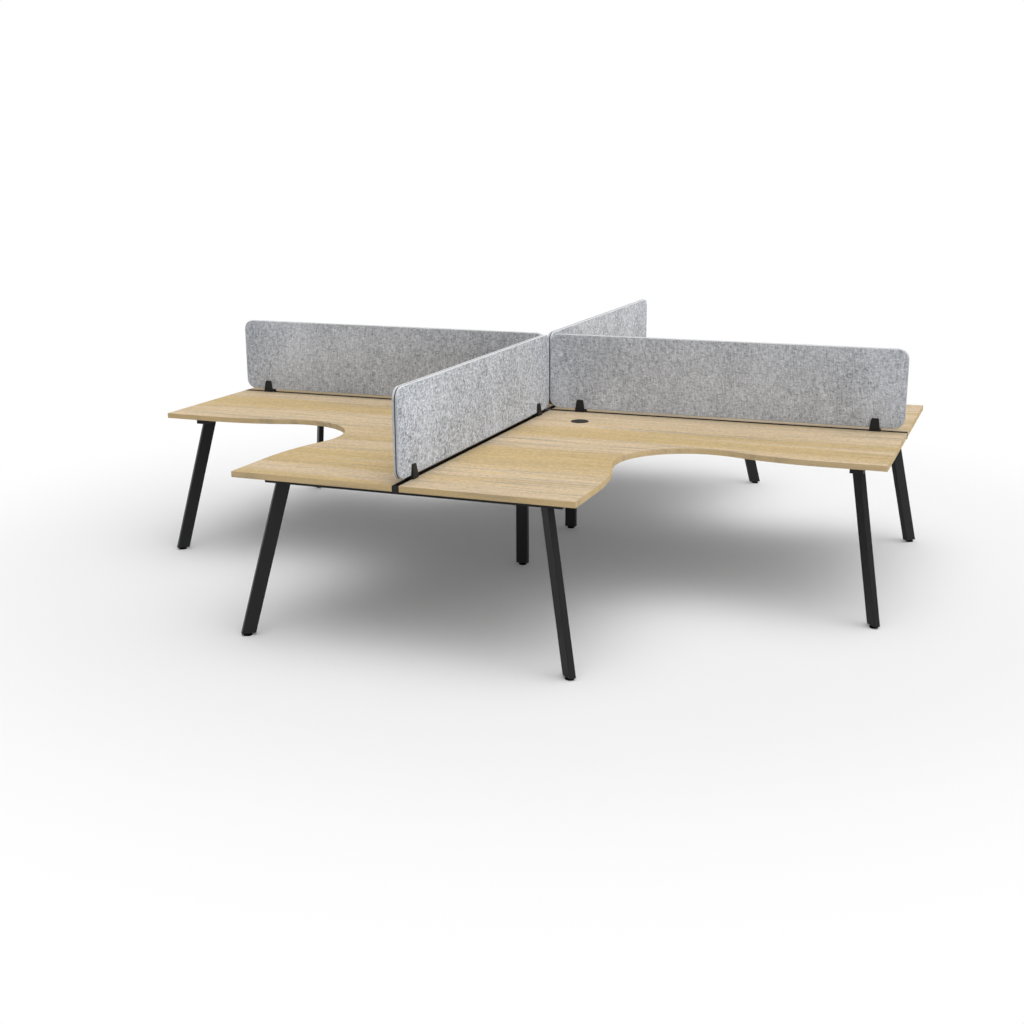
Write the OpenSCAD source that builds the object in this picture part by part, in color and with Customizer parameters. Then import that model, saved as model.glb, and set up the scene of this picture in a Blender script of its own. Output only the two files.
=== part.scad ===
// Four-seat corner workstation: four L-shaped desktops around a cross of felt screens,
// on splayed steel legs. Origin on the floor under the centre of the cross.
// +X runs along the right arm, -Y along the front arm, +Z is up. Millimetres.

/* [Desktops] */
// Height of the desktop surface above the floor
desk_h = 735; // [700:5:780]
// Thickness of the desktop board
board_t = 25; // [18:1:33]
// Length of each arm of a desktop, along the screen
arm_len = 1800; // [1700:25:1950]
// Depth of each arm of a desktop at its end
arm_depth = 755; // [720:5:800]
// Depth of each arm where the user cut-out is narrowest
neck_depth = 675; // [640:5:700]
// Radius of the concave user cut-out
cutout_r = 340; // [300:10:380]
// Radius of the convex wave between cut-out and straight edge
wave_r = 1300; // [1000:50:1400]
// Rounding of the corners at the arm ends, seen from above
end_corner_r = 4; // [3:0.5:8]
// Thickness of the edge band round each board
edge_t = 2; // [1:0.5:2.5]
// Width of the gap between neighbouring desktops
desk_gap = 30; // [28:1:40]

/* [Cable grommets] */
// Distance of each grommet from both centre lines
grommet_off = 263; // [240:5:300]
// Diameter of the hole in the board
grommet_hole_d = 80; // [60:5:90]
// Width of the flange that lies on the board beyond the hole
grommet_lip = 4; // [3:0.5:8]
// Height of the flange above the board
grommet_lip_h = 3; // [2:0.5:5]
// Wall of the sleeve
grommet_wall = 2.5; // [2:0.5:4]
// Length of the sleeve below the desktop surface
grommet_sleeve_l = 20; // [12:1:24]
// Width of the cable notch in the cover
notch_w = 24; // [14:1:30]
// Depth of the cable notch from the edge of the cover
notch_depth = 20; // [16:1:26]
// Running clearance round the cover
cover_clear = 0.3; // [0.2:0.1:0.5]

/* [Screens] */
// Height of the felt screens
screen_h = 380; // [300:10:500]
// Height of the screens above the desktop surface
screen_lift = 16; // [14:1:25]
// Distance of a screen's outer end from the desktop's end
screen_end_in = 15; // [10:1:40]
// Distance of a screen's inner end from the centre
screen_centre_in = 15; // [14:1:30]
// Thickness of each of the two felt layers
felt_t = 10; // [8:0.5:12]
// Thickness of the dark core sheet between the layers
core_t = 4; // [1:0.5:6]
// Depth of the groove over the core along the edges
core_groove = 2; // [1:0.5:4]
// Corner radius of the screens
screen_r = 50; // [30:5:80]

/* [Screen clamps] */
// Distance of the outer clamp from the screen's outer end
clamp_outer_in = 137; // [100:1:200]
// Distance of the inner clamp from the screen's inner end
clamp_inner_in = 165; // [120:1:220]
// Width of a jaw at the desktop
jaw_w = 52; // [40:1:60]
// Width of a jaw at its top
jaw_top_w = 35; // [24:1:38]
// Height of a jaw above the desktop
jaw_h = 62; // [50:1:80]
// Thickness of a jaw at its top
jaw_t = 5; // [4:0.5:7]
// Thickness of a jaw at its foot
jaw_foot_t = 10.5; // [8:0.5:14]
// Radius of the jaw's top corners
jaw_r = 6; // [4:0.5:8]
// Length of the base block under the screen
base_l = 46; // [30:1:50]
// Diameter of the cross screw
clamp_screw_d = 6; // [4:1:6]
// Clearance between clamp and felt
clamp_clear = 0.3; // [0.2:0.1:0.5]

/* [Gap rail] */
// Wall of the gap rail
spine_wall = 2.5; // [2:0.5:3]
// Width of the slot along its top
spine_slot = 10; // [8:1:14]
// Clearance between gap rail and desktops on each side
spine_clear = 0.5; // [0.3:0.1:0.8]
// Thickness of the gap rail's end cap
spine_cap_t = 3; // [2:0.5:5]
// How far the end cap reaches below the board
spine_cap_drop = 5; // [2:1:8]
// Length of the joiner's tongues inside the gap rails
tongue_l = 40; // [25:5:60]

/* [Frame] */
// Width of the rails that carry the legs
rail_w = 60; // [50:5:70]
// Height of rails and beams
rail_h = 40; // [35:1:50]
// Wall of rails and beams
rail_wall = 2; // [1.5:0.5:3]
// Length of an end rail beyond each leg's axis
rail_overhang = 73; // [50:1:90]
// Length of the centre rail beyond each beam's axis
centre_overhang = 58; // [56:1:80]
// Width of the beams
beam_w = 40; // [30:1:48]
// Distance of the beams from the centre lines
beam_off = 392; // [370:1:420]
// Thickness of the plates welded to the beams' ends
plate_t = 4; // [3:0.5:6]
// Width of the end plates
plate_w = 92; // [86:1:100]
// Distance of the frame bolts from the beam's axis
bolt_off = 33; // [31:0.5:35]
// Diameter of the frame bolts
bolt_d = 8; // [6:1:8]
// Thickness of the plastic caps in the rail ends
cap_t = 3; // [2:0.5:5]
// Depth of the caps' plugs inside the rails
cap_plug_l = 14; // [10:1:16]

/* [Desk tabs] */
// Length of a tab along the beam
tab_l = 50; // [40:1:70]
// Width of a tab beyond the beam
tab_w = 30; // [24:1:40]
// Thickness of a tab
tab_t = 3; // [2:0.5:4]
// Distance of the near tabs from the centre
tab_near = 900; // [700:10:1000]
// Distance of the far tabs from the desktop's end
tab_far_in = 315; // [280:5:400]
// Diameter of the wood screws
wood_screw_d = 4; // [3.5:0.5:6]
// Depth of the wood screws in the board
wood_screw_l = 15; // [10:1:16]

/* [Legs] */
// Long side of the legs' section
leg_long = 60; // [50:1:70]
// Short side of the legs' section
leg_short = 30; // [26:1:35]
// Wall of the legs
leg_wall = 2; // [1.5:0.5:3]
// Corner radius of the legs' section
leg_corner_r = 4; // [3:0.5:6]
// Lean of the end legs from upright
leg_lean = 15.5; // [12:0.5:18]
// Direction of the lean, turned from the arm towards its side
leg_turn = 49; // [40:1:55]
// Distance of the end feet from the desktop's end
foot_end_in = 20; // [10:1:60]
// Distance of the end feet from the desktop's side
foot_side_in = 28; // [20:1:60]
// Distance of the centre legs from the centre
centre_leg_off = 378; // [300:1:385]

/* [Levelling feet] */
// Diameter of a foot's disc
foot_d = 38; // [30:1:44]
// Height of a foot's disc
foot_t = 8; // [6:0.5:10]
// Diameter of a foot's threaded stem
stem_d = 10; // [8:1:12]
// Length of the stem above the disc
stem_l = 28; // [24:1:34]
// Across corners of the nut under the leg
nut_d = 18; // [15:1:20]
// Height of the nut under the leg
nut_t = 1.7; // [1:0.1:3]
// Flange of the plastic plug under the leg
plug_flange = 2; // [1.5:0.5:3]
// Length of the plug inside the leg
plug_l = 30; // [26:1:40]
// Running clearance of stem and nut
stem_clear = 0.3; // [0.2:0.1:0.4]

/* [Hidden] */
$fn = 72;
wide_fn = 360;
reach = 4000;

// Arms are numbered by quarter turns from +X
RIGHT = 0;
BACK = 1;
LEFT = 2;
FRONT = 3;

// Rounds to a tenth of a millimetre
function tenth(length) = round(10 * length) / 10;

// Plan of a desktop, measured from the centre of the cross
half_gap = desk_gap / 2;
arm_end = half_gap + arm_len;
arm_side = half_gap + arm_depth;
cutout_c = half_gap + neck_depth + cutout_r;
wave_angle = acos((cutout_c - arm_side + wave_r) / (cutout_r + wave_r));
// Rounded down, so that the convex arc always reaches the concave one
wave_end = floor(10 * (cutout_c + (cutout_r + wave_r) * sin(wave_angle))) / 10;
board_z = desk_h - board_t;
// How far a cut runs past the face that it opens
cut_over = 1;

// Screens and their clamps
screen_t = 2 * felt_t + core_t;
screen_out = arm_end - screen_end_in;
screen_z = desk_h + screen_lift;
grip_y = screen_t / 2 + clamp_clear;
clamp_places = [screen_centre_in + clamp_inner_in, screen_out - clamp_outer_in];
base_h = screen_lift - clamp_clear;
base_stem_l = 30;
base_head_w = 20;
base_head_t = 6;
clamp_head_lip = 2;
clamp_head_r = clamp_screw_d / 2 + clamp_head_lip;
clamp_head_t = jaw_foot_t / 2;

// Gap rail
spine_w = desk_gap - 2 * spine_clear;
spine_in_w = spine_w - 2 * spine_wall;
fit_clear = 0.3;

// Cable grommet
ring_r = grommet_hole_d / 2 - fit_clear;
cover_seat_r = ring_r - grommet_wall;
seat_w = 3;
cover_r = cover_seat_r - cover_clear;

// Frame heights
rail_z = board_z - rail_h;
rail_mid_z = board_z - rail_h / 2;
leg_clear = foot_t + nut_t + stem_clear + plug_flange;
foot_edge = 1;
foot_top_lip = 2;

// Feet and the tops of the leaning legs, along the arm and across it
foot_x = arm_end - foot_end_in;
foot_y = arm_side - foot_side_in;
rail_x = foot_x - tenth(rail_z * tan(leg_lean) * cos(leg_turn));
leg_top_y = foot_y - tenth(rail_z * tan(leg_lean) * sin(leg_turn));
end_rail_half = leg_top_y + rail_overhang;
centre_rail_half = beam_off + centre_overhang;

// Beams and their fasteners
beam_end = rail_x - rail_w / 2;
main_start = rail_w / 2;
return_start = beam_off + beam_w / 2;
plate_h = rail_h - rail_wall;
bolt_head_lip = 2.5;
bolt_head_r = bolt_d / 2 + bolt_head_lip;
bolt_head_t = 4.5;
bolt_reach = 8;
bolt_hole_r = bolt_d / 2 + fit_clear;
bolt_places = [beam_off - bolt_off, beam_off + bolt_off];
tab_places = [tab_near, arm_end - tab_far_in];
tab_hole_y = beam_off + beam_w / 2 + tab_w / 2;
wood_head_lip = 2.5;
wood_head_r = wood_screw_d / 2 + wood_head_lip;
wood_head_t = 2.5;
plug_clear = 0.2;

oak = "#d8bd92";
oak_edge = "#b99c6e";
felt_grey = "#b4b4b6";
core_black = "#3a3c42";
powder_black = "#262626";
plastic_black = "#1b1b1c";
zinc = "#8d8f92";

// Moves a shape drawn on the right arm to another arm
module on_arm(arm) rotate([0, 0, 90 * arm]) children();

// Mirrors a shape drawn in the back right quarter into another quarter
module in_quarter(side_x, side_y)
    mirror([side_x < 0 ? 1 : 0, 0, 0]) mirror([0, side_y < 0 ? 1 : 0, 0]) children();

// Draws a shape and its image across the quarter's diagonal
module both_arms() {
    children();
    mirror([1, -1, 0]) children();
}

// Keeps what lies between two heights
module between(z_low, z_high) intersection() {
    children();
    translate([-reach, -reach, z_low]) cube([2 * reach, 2 * reach, z_high - z_low]);
}

module soft_rect(w, h, r) {
    square([w - 2 * r, h], center = true);
    square([w, h - 2 * r], center = true);
    for (x = [-1, 1], y = [-1, 1]) translate([x * (w / 2 - r), y * (h / 2 - r)]) circle(r);
}

module tube_section(w, h, wall) difference() {
    square([w, h], center = true);
    square([w - 2 * wall, h - 2 * wall], center = true);
}

// One arm of the desktop's outline, drawn smaller all round by inset
module arm_outline(inset) {
    low = half_gap + inset;
    side = arm_side - inset;
    tip = arm_end - inset;
    r = end_corner_r - inset;
    wave_start = cutout_c + (cutout_r + inset) * sin(wave_angle) - low;
    translate([low, low]) square([wave_start, wave_start]);
    intersection() {
        translate([low, low]) square([wave_end - low, side - low]);
        translate([wave_end, arm_side - wave_r]) circle(wave_r - inset, $fn = wide_fn);
    }
    translate([wave_end, low]) square([tip - r - wave_end, side - low]);
    translate([wave_end, low + r]) square([tip - wave_end, side - low - 2 * r]);
    for (y = [low + r, side - r]) translate([tip - r, y]) circle(r);
}

// The whole outline, with the concave cut-out taken from the corner
module desk_outline(inset) difference() {
    both_arms() arm_outline(inset);
    translate([cutout_c, cutout_c]) circle(cutout_r + inset, $fn = wide_fn);
}

module desktop(side_x, side_y) color(oak) in_quarter(side_x, side_y) difference() {
    translate([0, 0, board_z]) linear_extrude(board_t) desk_outline(edge_t);
    translate([grommet_off, grommet_off, board_z - cut_over])
        cylinder(h = board_t + 2 * cut_over, d = grommet_hole_d);
    both_arms() for (x = tab_places) translate([x, tab_hole_y, board_z - cut_over])
        cylinder(h = wood_screw_l + 2 * cut_over, d = wood_screw_d + 2 * plug_clear);
}

module edge_bands() color(oak_edge) for (x = [-1, 1], y = [-1, 1]) in_quarter(x, y)
    translate([0, 0, board_z]) linear_extrude(board_t) difference() {
        desk_outline(0);
        desk_outline(edge_t);
    }

module at_grommet(side_x, side_y) in_quarter(side_x, side_y)
    translate([grommet_off, grommet_off, desk_h]) children();

// Sleeve, flange with a chamfered rim, and the inner ledge that the cover lies on
module grommet_ring(side_x, side_y) color(plastic_black) at_grommet(side_x, side_y) rotate_extrude() polygon([
    [cover_seat_r, -grommet_sleeve_l],
    [ring_r, -grommet_sleeve_l],
    [ring_r, 0],
    [grommet_hole_d / 2 + grommet_lip, 0],
    [grommet_hole_d / 2 + grommet_lip, grommet_lip_h / 2],
    [grommet_hole_d / 2 + grommet_lip - grommet_lip_h / 2, grommet_lip_h],
    [cover_seat_r, grommet_lip_h],
    [cover_seat_r, 0],
    [cover_seat_r - seat_w, 0],
    [cover_seat_r - seat_w, -seat_w],
    [cover_seat_r, -2 * seat_w]
]);

module grommet_cover(side_x, side_y) color(plastic_black) at_grommet(side_x, side_y)
    translate([0, 0, cover_clear]) linear_extrude(grommet_lip_h - cover_clear) difference() {
        circle(cover_r);
        rotate(225) translate([cover_r - notch_depth + notch_w / 2, 0]) {
            circle(d = notch_w);
            translate([0, -notch_w / 2]) square([notch_depth, notch_w]);
        }
    }

// Upright sheet with rounded corners in the plane of a screen, drawn smaller all round by inset
module screen_sheet(y_low, t, inset) translate([(screen_centre_in + screen_out) / 2, y_low + t,
    screen_z + screen_h / 2]) rotate([90, 0, 0]) linear_extrude(t)
    soft_rect(screen_out - screen_centre_in - 2 * inset, screen_h - 2 * inset, screen_r - inset);

module screen_felt(arm, side) color(felt_grey) on_arm(arm)
    screen_sheet(side > 0 ? core_t / 2 : -core_t / 2 - felt_t, felt_t, 0);

module screen_cores() color(core_black) for (arm = [0:3]) on_arm(arm)
    screen_sheet(-core_t / 2, core_t, core_groove);

// Repeats a clamp part at both places along each of the four screens
module at_clamps() for (arm = [0:3], x = clamp_places) on_arm(arm) translate([x, 0, desk_h]) children();

module cross_hole(r) translate([0, 0, base_h / 2]) rotate([90, 0, 0])
    cylinder(h = 4 * screen_t, r = r, center = true);

// Front of a jaw, with sloping sides and rounded top corners
module jaw_front() {
    shoulder = jaw_h - jaw_r;
    polygon([[-jaw_w / 2, 0], [jaw_w / 2, 0], [jaw_top_w / 2, shoulder], [jaw_top_w / 2 - jaw_r, jaw_h],
        [jaw_r - jaw_top_w / 2, jaw_h], [-jaw_top_w / 2, shoulder]]);
    for (side = [-1, 1]) translate([side * (jaw_top_w / 2 - jaw_r), shoulder]) circle(jaw_r);
}

// Side of a jaw, upright beside the base block and tapering above it
module jaw_side() translate([grip_y, 0])
    polygon([[0, 0], [jaw_foot_t, 0], [jaw_foot_t, base_h], [jaw_t, jaw_h], [0, jaw_h]]);

module clamp_jaws() color(plastic_black) at_clamps() for (side = [0, 1]) rotate([0, 0, 180 * side])
    difference() {
        intersection() {
            translate([0, grip_y + jaw_foot_t, 0]) rotate([90, 0, 0]) linear_extrude(jaw_foot_t) jaw_front();
            translate([-jaw_w, 0, 0]) rotate([90, 0, 90]) linear_extrude(2 * jaw_w) jaw_side();
        }
        cross_hole(clamp_screw_d / 2 + plug_clear);
        translate([0, grip_y + jaw_foot_t - clamp_head_t, base_h / 2])
            rotate([-90, 0, 0]) cylinder(h = jaw_foot_t, r = clamp_head_r + plug_clear);
    }

// Block under the screen, with a foot that hooks under the lips of the gap rail
module clamp_bases() color(plastic_black) at_clamps() difference() {
    union() {
        translate([-base_l / 2, -grip_y, 0]) cube([base_l, 2 * grip_y, base_h]);
        translate([-base_stem_l / 2, fit_clear - spine_slot / 2, -spine_wall - fit_clear - base_head_t])
            cube([base_stem_l, spine_slot - 2 * fit_clear, spine_wall + fit_clear + base_head_t]);
        translate([-base_stem_l / 2, -base_head_w / 2, -spine_wall - fit_clear - base_head_t])
            cube([base_stem_l, base_head_w, base_head_t]);
    }
    cross_hole(clamp_screw_d / 2 + plug_clear);
}

// Socket-head screw through both jaws, with its heads sunk in their outer faces
module clamp_screws() color(zinc) at_clamps() translate([0, 0, base_h / 2]) rotate([90, 0, 0]) difference() {
    union() {
        cylinder(h = 2 * (grip_y + jaw_foot_t), d = clamp_screw_d, center = true);
        for (side = [0, 1]) rotate([180 * side, 0, 0]) translate([0, 0, grip_y + jaw_foot_t - clamp_head_t])
            cylinder(h = clamp_head_t, r = clamp_head_r);
    }
    for (side = [0, 1]) rotate([180 * side, 0, 0]) translate([0, 0, grip_y + jaw_foot_t - clamp_head_t / 2])
        cylinder(h = clamp_head_t, d = clamp_screw_d * 0.7, $fn = 6);
}

// Channel with inward lips that fills the gap between two desktops
module gap_rails() color(powder_black) for (arm = [0:3]) on_arm(arm)
    translate([half_gap, 0, board_z + board_t / 2]) rotate([90, 0, 90])
    linear_extrude(arm_end - spine_cap_t - half_gap) difference() {
        square([spine_w, board_t], center = true);
        square([spine_in_w, board_t - 2 * spine_wall], center = true);
        translate([-spine_slot / 2, 0]) square([spine_slot, board_t]);
    }

// Bar that slides inside a gap rail
module rail_tongue(x, l) {
    w = spine_in_w - 2 * fit_clear;
    h = board_t - 2 * spine_wall - 2 * fit_clear;
    translate([x, -w / 2, board_z + spine_wall + fit_clear]) cube([l, w, h]);
}

module gap_rail_joiner() color(plastic_black) {
    side = desk_gap - 2 * fit_clear;
    translate([-side / 2, -side / 2, board_z]) cube([side, side, board_t]);
    for (arm = [0:3]) on_arm(arm) rail_tongue(0, half_gap + tongue_l);
}

module gap_rail_end_caps() color(plastic_black) for (arm = [0:3]) on_arm(arm) {
    translate([arm_end - spine_cap_t, -spine_w / 2, board_z - spine_cap_drop])
        cube([spine_cap_t, spine_w, board_t + spine_cap_drop]);
    rail_tongue(arm_end - spine_cap_t - cap_plug_l, cap_plug_l);
}

// Holes across the rail's walls for the bolts of the two beams that meet it
module bolt_holes(x, l) for (side = [-1, 1], y = bolt_places) translate([x, side * y, rail_mid_z])
    rotate([0, 90, 0]) cylinder(h = l, r = bolt_hole_r, center = true);

module rail_tube(half) translate([0, 0, rail_mid_z]) rotate([90, 0, 0])
    linear_extrude(2 * (half - cap_t), center = true) tube_section(rail_w, rail_h, rail_wall);

module end_rail(arm) color(powder_black) on_arm(arm) difference() {
    translate([rail_x, 0, 0]) rail_tube(end_rail_half);
    bolt_holes(beam_end, 4 * rail_wall);
}

module centre_rail() color(powder_black) difference() {
    rail_tube(centre_rail_half);
    bolt_holes(0, rail_w + 2 * cut_over);
}

// Caps with plugs for both ends of a rail
module rail_cap(half) for (side = [0, 1]) rotate([0, 0, 180 * side])
    translate([0, half - cap_t, rail_mid_z]) {
    play = 2 * rail_wall + 2 * plug_clear;
    translate([0, cap_t / 2, 0]) cube([rail_w, cap_t, rail_h], center = true);
    translate([0, -cap_plug_l / 2, 0]) cube([rail_w - play, cap_plug_l, rail_h - play], center = true);
}

module rail_end_caps() color(plastic_black) {
    for (arm = [0:3]) on_arm(arm) translate([rail_x, 0, 0]) rail_cap(end_rail_half);
    rail_cap(centre_rail_half);
}

// Box beam on one side of an arm, with a bolted plate at each end and tabs under the board
module beam(start, side, cross_bolts) mirror([0, side < 0 ? 1 : 0, 0]) difference() {
    union() {
        translate([start + plate_t, beam_off, rail_mid_z]) rotate([90, 0, 90])
            linear_extrude(beam_end - start - 2 * plate_t) tube_section(beam_w, rail_h, rail_wall);
        for (x = [start, beam_end - plate_t])
            translate([x, beam_off - plate_w / 2, rail_mid_z - plate_h / 2])
            cube([plate_t, plate_w, plate_h]);
        for (x = tab_places) translate([x - tab_l / 2, beam_off + beam_w / 2 - rail_wall, board_z - tab_t])
            cube([tab_l, tab_w + rail_wall, tab_t]);
    }
    for (x = [start, beam_end]) bolt_holes(x, 4 * plate_t);
    for (x = tab_places) translate([x, tab_hole_y, board_z - 2 * tab_t])
        cylinder(h = 4 * tab_t, d = wood_screw_d + 4 * plug_clear);
    if (cross_bolts) for (x = bolt_places) translate([x, beam_off + beam_w / 2, rail_mid_z])
        rotate([90, 0, 0]) cylinder(h = 4 * rail_wall, r = bolt_hole_r, center = true);
}

module main_beams() color(powder_black) for (arm = [RIGHT, LEFT], side = [-1, 1]) on_arm(arm)
    beam(main_start, side, true);

module return_beams() color(powder_black) for (arm = [BACK, FRONT], side = [-1, 1]) on_arm(arm)
    beam(return_start, side, false);

// Button-head bolt through an end plate and the wall behind it, pointing along +X
module frame_bolt() rotate([0, 90, 0]) difference() {
    union() {
        translate([0, 0, -plate_t - bolt_head_t]) cylinder(h = bolt_head_t, r = bolt_head_r);
        translate([0, 0, -plate_t - bolt_head_t])
            cylinder(h = bolt_head_t + plate_t + rail_wall + bolt_reach, d = bolt_d);
    }
    translate([0, 0, -plate_t - 1.5 * bolt_head_t]) cylinder(h = bolt_head_t, d = bolt_d * 0.7, $fn = 6);
}

module frame_bolts() color(zinc) for (arm = [0:3], side = [-1, 1], y = bolt_places) on_arm(arm) {
    start = arm == RIGHT || arm == LEFT ? main_start : return_start;
    translate([beam_end, side * y, rail_mid_z]) frame_bolt();
    translate([start, side * y, rail_mid_z]) mirror([1, 0, 0]) frame_bolt();
}

module desk_screws() color(zinc) for (x = [-1, 1], y = [-1, 1]) in_quarter(x, y) both_arms()
    for (along = tab_places) translate([along, tab_hole_y, board_z - tab_t]) {
        translate([0, 0, -wood_head_t]) cylinder(h = wood_head_t, r = wood_head_r);
        cylinder(h = tab_t + wood_screw_l, d = wood_screw_d);
    }

// Section of the legs, smaller all round by inset
module leg_section(inset)
    soft_rect(leg_long - 2 * inset, leg_short - 2 * inset, max(leg_corner_r - inset, 0.5));

// Long bar of the leg's section, leaning inwards from its foot
module leaning_bar(side, inset) translate([foot_x, side * foot_y, 0]) rotate([0, 0, side * leg_turn])
    rotate([0, -leg_lean, 0]) translate([0, 0, -leg_long]) linear_extrude(2 * desk_h) leg_section(inset);

module upright_bar(side, inset) translate([0, side * centre_leg_off, -leg_long])
    linear_extrude(2 * desk_h) leg_section(inset);

module end_leg(arm, side) color(powder_black) on_arm(arm) between(leg_clear, rail_z) difference() {
    leaning_bar(side, 0);
    leaning_bar(side, leg_wall);
}

module centre_leg(side) color(powder_black) between(leg_clear, rail_z) difference() {
    upright_bar(side, 0);
    upright_bar(side, leg_wall);
}

module stem_hole(x, y) translate([x, y, 0])
    cylinder(h = leg_clear + plug_l + cut_over, d = stem_d + 2 * stem_clear);

// Plastic plug in each leg, with a flange under the tube's cut end and a hole for the foot's stem
module leg_plugs() color(plastic_black) {
    for (arm = [0:3], side = [-1, 1]) on_arm(arm) difference() {
        union() {
            between(leg_clear - plug_flange, leg_clear) leaning_bar(side, 0);
            between(leg_clear - plug_flange, leg_clear + plug_l) leaning_bar(side, leg_wall + plug_clear);
        }
        stem_hole(foot_x, side * foot_y);
    }
    for (side = [-1, 1]) difference() {
        union() {
            between(leg_clear - plug_flange, leg_clear) upright_bar(side, 0);
            between(leg_clear - plug_flange, leg_clear + plug_l) upright_bar(side, leg_wall + plug_clear);
        }
        stem_hole(0, side * centre_leg_off);
    }
}

// Levelling foot: disc with a bevelled rim, nut and threaded stem
module levelling_foot(x, y) color(plastic_black) translate([x, y, 0]) {
    rotate_extrude() polygon([[0, 0], [foot_d / 2 - foot_edge, 0], [foot_d / 2, foot_edge],
        [foot_d / 2, foot_t * 0.6], [nut_d / 2 + foot_top_lip, foot_t], [0, foot_t]]);
    cylinder(h = foot_t + nut_t, d = nut_d, $fn = 6);
    cylinder(h = foot_t + stem_l, d = stem_d);
}

module end_foot(arm, side) on_arm(arm) levelling_foot(foot_x, side * foot_y);

desktop(-1, -1);  // desktop_front_left
desktop(1, -1);  // desktop_front_right
desktop(-1, 1);  // desktop_back_left
desktop(1, 1);  // desktop_back_right
edge_bands();
grommet_ring(-1, -1);  // grommet_ring_front_left
grommet_ring(1, -1);  // grommet_ring_front_right
grommet_ring(-1, 1);  // grommet_ring_back_left
grommet_ring(1, 1);  // grommet_ring_back_right
grommet_cover(-1, -1);  // grommet_cover_front_left
grommet_cover(1, -1);  // grommet_cover_front_right
grommet_cover(-1, 1);  // grommet_cover_back_left
grommet_cover(1, 1);  // grommet_cover_back_right
screen_felt(FRONT, -1);  // screen_front_felt_left
screen_felt(FRONT, 1);  // screen_front_felt_right
screen_felt(BACK, 1);  // screen_back_felt_left
screen_felt(BACK, -1);  // screen_back_felt_right
screen_felt(LEFT, 1);  // screen_left_felt_front
screen_felt(LEFT, -1);  // screen_left_felt_back
screen_felt(RIGHT, -1);  // screen_right_felt_front
screen_felt(RIGHT, 1);  // screen_right_felt_back
screen_cores();
clamp_jaws();
clamp_bases();
clamp_screws();
gap_rails();
gap_rail_joiner();
gap_rail_end_caps();
end_rail(FRONT);  // end_rail_front
end_rail(BACK);  // end_rail_back
end_rail(LEFT);  // end_rail_left
end_rail(RIGHT);  // end_rail_right
centre_rail();
rail_end_caps();
main_beams();
return_beams();
frame_bolts();
desk_screws();
end_leg(FRONT, -1);  // leg_front_left
end_leg(FRONT, 1);  // leg_front_right
end_leg(BACK, 1);  // leg_back_left
end_leg(BACK, -1);  // leg_back_right
end_leg(LEFT, 1);  // leg_left_front
end_leg(LEFT, -1);  // leg_left_back
end_leg(RIGHT, -1);  // leg_right_front
end_leg(RIGHT, 1);  // leg_right_back
centre_leg(-1);  // leg_centre_front
centre_leg(1);  // leg_centre_back
leg_plugs();
end_foot(FRONT, -1);  // foot_front_left
end_foot(FRONT, 1);  // foot_front_right
end_foot(BACK, 1);  // foot_back_left
end_foot(BACK, -1);  // foot_back_right
end_foot(LEFT, 1);  // foot_left_front
end_foot(LEFT, -1);  // foot_left_back
end_foot(RIGHT, -1);  // foot_right_front
end_foot(RIGHT, 1);  // foot_right_back
levelling_foot(0, -centre_leg_off);  // foot_centre_front
levelling_foot(0, centre_leg_off);  // foot_centre_back
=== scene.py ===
"""Corner workstation: four oak desktops round a cross of grey felt screens, on black steel legs.

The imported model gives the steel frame, desktops, grommets, gap rails and feet; their materials are set here.
The felt layers, edge bands, clamp jaws and clamp bases are made here and stand for their CAD nodes.
Metres throughout. Origin on the floor under the middle of the cross, +X along the right arm, -Y to the front.
"""

import math

import bmesh
import bpy
import numpy as np
from mathutils import Matrix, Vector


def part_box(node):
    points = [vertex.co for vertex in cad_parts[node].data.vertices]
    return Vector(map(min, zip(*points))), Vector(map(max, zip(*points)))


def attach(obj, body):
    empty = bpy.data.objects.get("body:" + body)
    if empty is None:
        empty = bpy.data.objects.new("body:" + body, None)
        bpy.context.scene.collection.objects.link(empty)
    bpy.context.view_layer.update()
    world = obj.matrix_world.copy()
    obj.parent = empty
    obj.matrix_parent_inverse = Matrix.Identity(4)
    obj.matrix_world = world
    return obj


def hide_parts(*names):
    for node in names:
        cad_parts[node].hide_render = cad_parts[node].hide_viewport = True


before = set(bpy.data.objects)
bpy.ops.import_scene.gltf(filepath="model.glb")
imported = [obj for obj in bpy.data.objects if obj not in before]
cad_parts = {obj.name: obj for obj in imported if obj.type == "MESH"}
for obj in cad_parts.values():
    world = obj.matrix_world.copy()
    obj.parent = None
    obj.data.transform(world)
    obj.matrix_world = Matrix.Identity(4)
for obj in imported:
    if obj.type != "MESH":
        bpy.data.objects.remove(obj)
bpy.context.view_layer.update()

# Sizes read from the frame

board_low, board_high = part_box("desktop_back_right")
band_low, band_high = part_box("edge_bands")
felt_low, felt_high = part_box("screen_right_felt_back")

DESK_TOP = band_high.z
BOARD_T = band_high.z - band_low.z
ARM_END = band_high.x
BAND_T = band_high.x - board_high.x
HALF_GAP = board_low.x - BAND_T

SCREEN_IN, SCREEN_OUT = felt_low.x, felt_high.x
SCREEN_LOW, SCREEN_HIGH = felt_low.z, felt_high.z
CORE_HALF = felt_low.y
FELT_T = felt_high.y - felt_low.y

# Sizes that a box doesn't give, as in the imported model

ARM_DEPTH = 0.755
NECK_DEPTH = 0.675
CUTOUT_R = 0.340
WAVE_R = 1.300
END_CORNER_R = 0.004
INNER_CORNER_R = 0.0025
SCREEN_R = 0.050
ARM_SIDE = HALF_GAP + ARM_DEPTH
CUTOUT_C = HALF_GAP + NECK_DEPTH + CUTOUT_R

# Sizes of what is finished here

# Points closer than this are one, and faces that turn by less than this are one
MERGE_REACH = 1e-6
FLAT_DEGREES = 0.5
BAND_ROUND = 0.0008
JAW_ROUND = 0.0008
BASE_ROUND = 0.0005
ROUND_SEGMENTS = 3
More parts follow.
